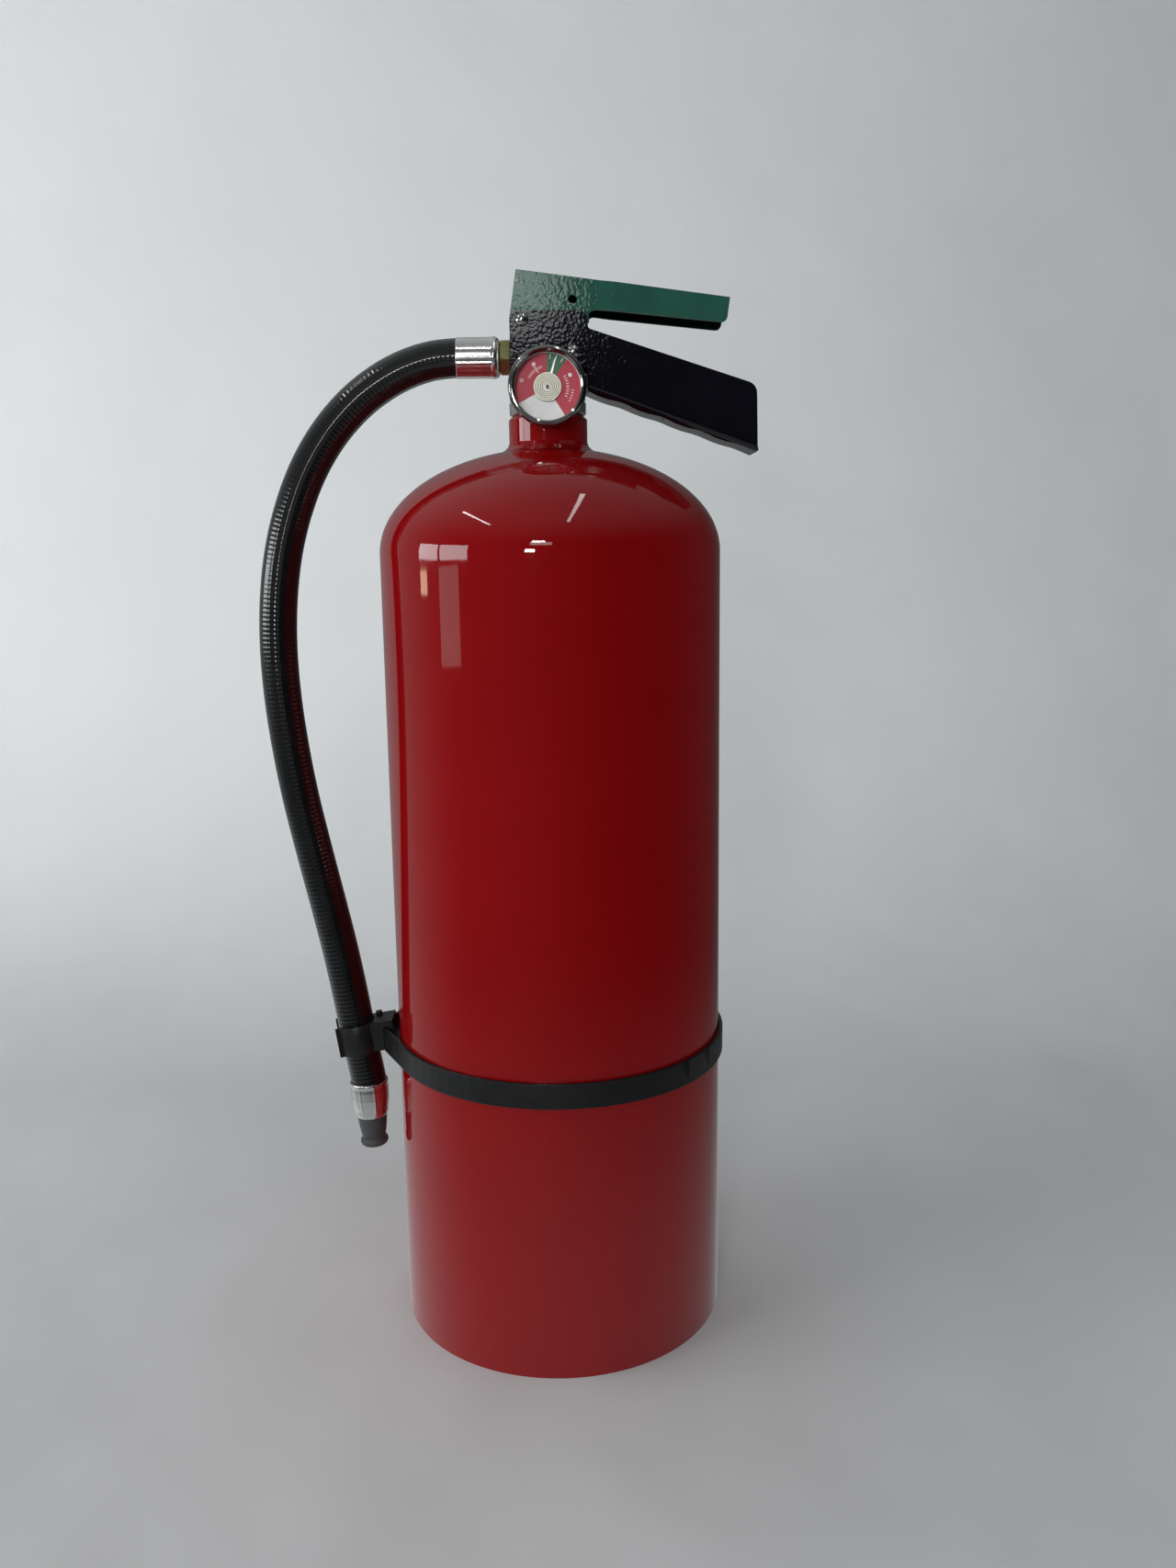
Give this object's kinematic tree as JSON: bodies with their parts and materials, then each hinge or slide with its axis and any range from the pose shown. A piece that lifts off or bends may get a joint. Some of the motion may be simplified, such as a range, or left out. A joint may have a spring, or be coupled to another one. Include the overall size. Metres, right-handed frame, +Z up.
{
  "type": "fire extinguisher",
  "caption": "Red dry powder fire extinguisher with a squeeze lever over its carrying handle, a pressure gauge, and a side hose held by a strap clip.",
  "frame": {"origin": "centre of the foot ring, on the floor", "axes": "+Z up the cylinder's axis, +X towards the carrying handle, -X towards the hose, -Y the side the gauge faces"},
  "size_m": [0.2628, 0.1828, 0.5602],
  "materials": {
    "red_paint": "high gloss",
    "green_paint": "gloss, slight orange peel",
    "black_paint": "gloss, hammered",
    "valve_metal": "machined",
    "ferrule_aluminium": "bright, crimped",
    "steel": "zinc plated",
    "brass": "yellow zinc",
    "gauge_chrome": "polished",
    "needle_metal": "satin",
    "dial_print": "printed sectors",
    "lens": "clear",
    "seal_rubber": "matte",
    "hose_rubber": "smooth, semi-gloss",
    "black_plastic": "satin",
    "grey_plastic": "satin",
    "white_plastic": "natural"
  },
  "bodies": {
    "extinguisher": {"shell": "red_paint", "foot_ring": "red_paint", "base_dish": "red_paint", "neck_collar": "red_paint", "neck_o_ring": "seal_rubber", "valve_body": "valve_metal", "siphon_adapter": "white_plastic", "siphon_tube": "white_plastic", "valve_spring": "steel", "carrying_handle": "black_paint", "handle_rivet": "steel", "lever_rivet": "steel", "gauge_stem": "brass", "gauge_case": "gauge_chrome", "gauge_bezel": "gauge_chrome", "gauge_dial": "dial_print", "gauge_post": "steel", "bourdon_coil": "gauge_chrome", "gauge_lens": "lens", "hose_tail": "brass", "tail_washer": "seal_rubber", "valve_ferrule": "ferrule_aluminium", "hose": "hose_rubber", "nozzle_ferrule": "ferrule_aluminium", "nozzle": "grey_plastic", "retaining_band": "black_plastic", "hose_clip": "black_plastic", "clip_pin": "black_plastic"},
    "squeeze_lever": {"lever": "green_paint"},
    "stem": {"valve_stem": "steel", "stem_seal": "seal_rubber", "stem_o_ring": "seal_rubber"},
    "needle": {"gauge_needle": "needle_metal"}
  },
  "joints": [
    {"name": "lever_hinge", "type": "hinge", "parent": "extinguisher", "child": "squeeze_lever", "pos_m": [-0.01215, 0, 0.5356], "axis": [0, 1, 0], "range_deg": [0, 13], "stiffness_Nm_per_rad": 0.65, "springref_deg": -25.21},
    {"name": "stem_slide", "type": "slide", "parent": "extinguisher", "child": "stem", "axis": [0, 0, -1], "range_m": [0, 0.0021], "deforming": ["valve_spring"]},
    {"name": "needle_turn", "type": "hinge", "parent": "extinguisher", "child": "needle", "pos_m": [0, -0.0262, 0.5014], "axis": [0, 1, 0], "range_deg": [-93, 55], "stiffness_Nm_per_rad": 0.0001}
  ],
  "couplings": [
    {"joint": "stem_slide", "follows": "lever_hinge", "m_per_rad": 0.009}
  ]
}
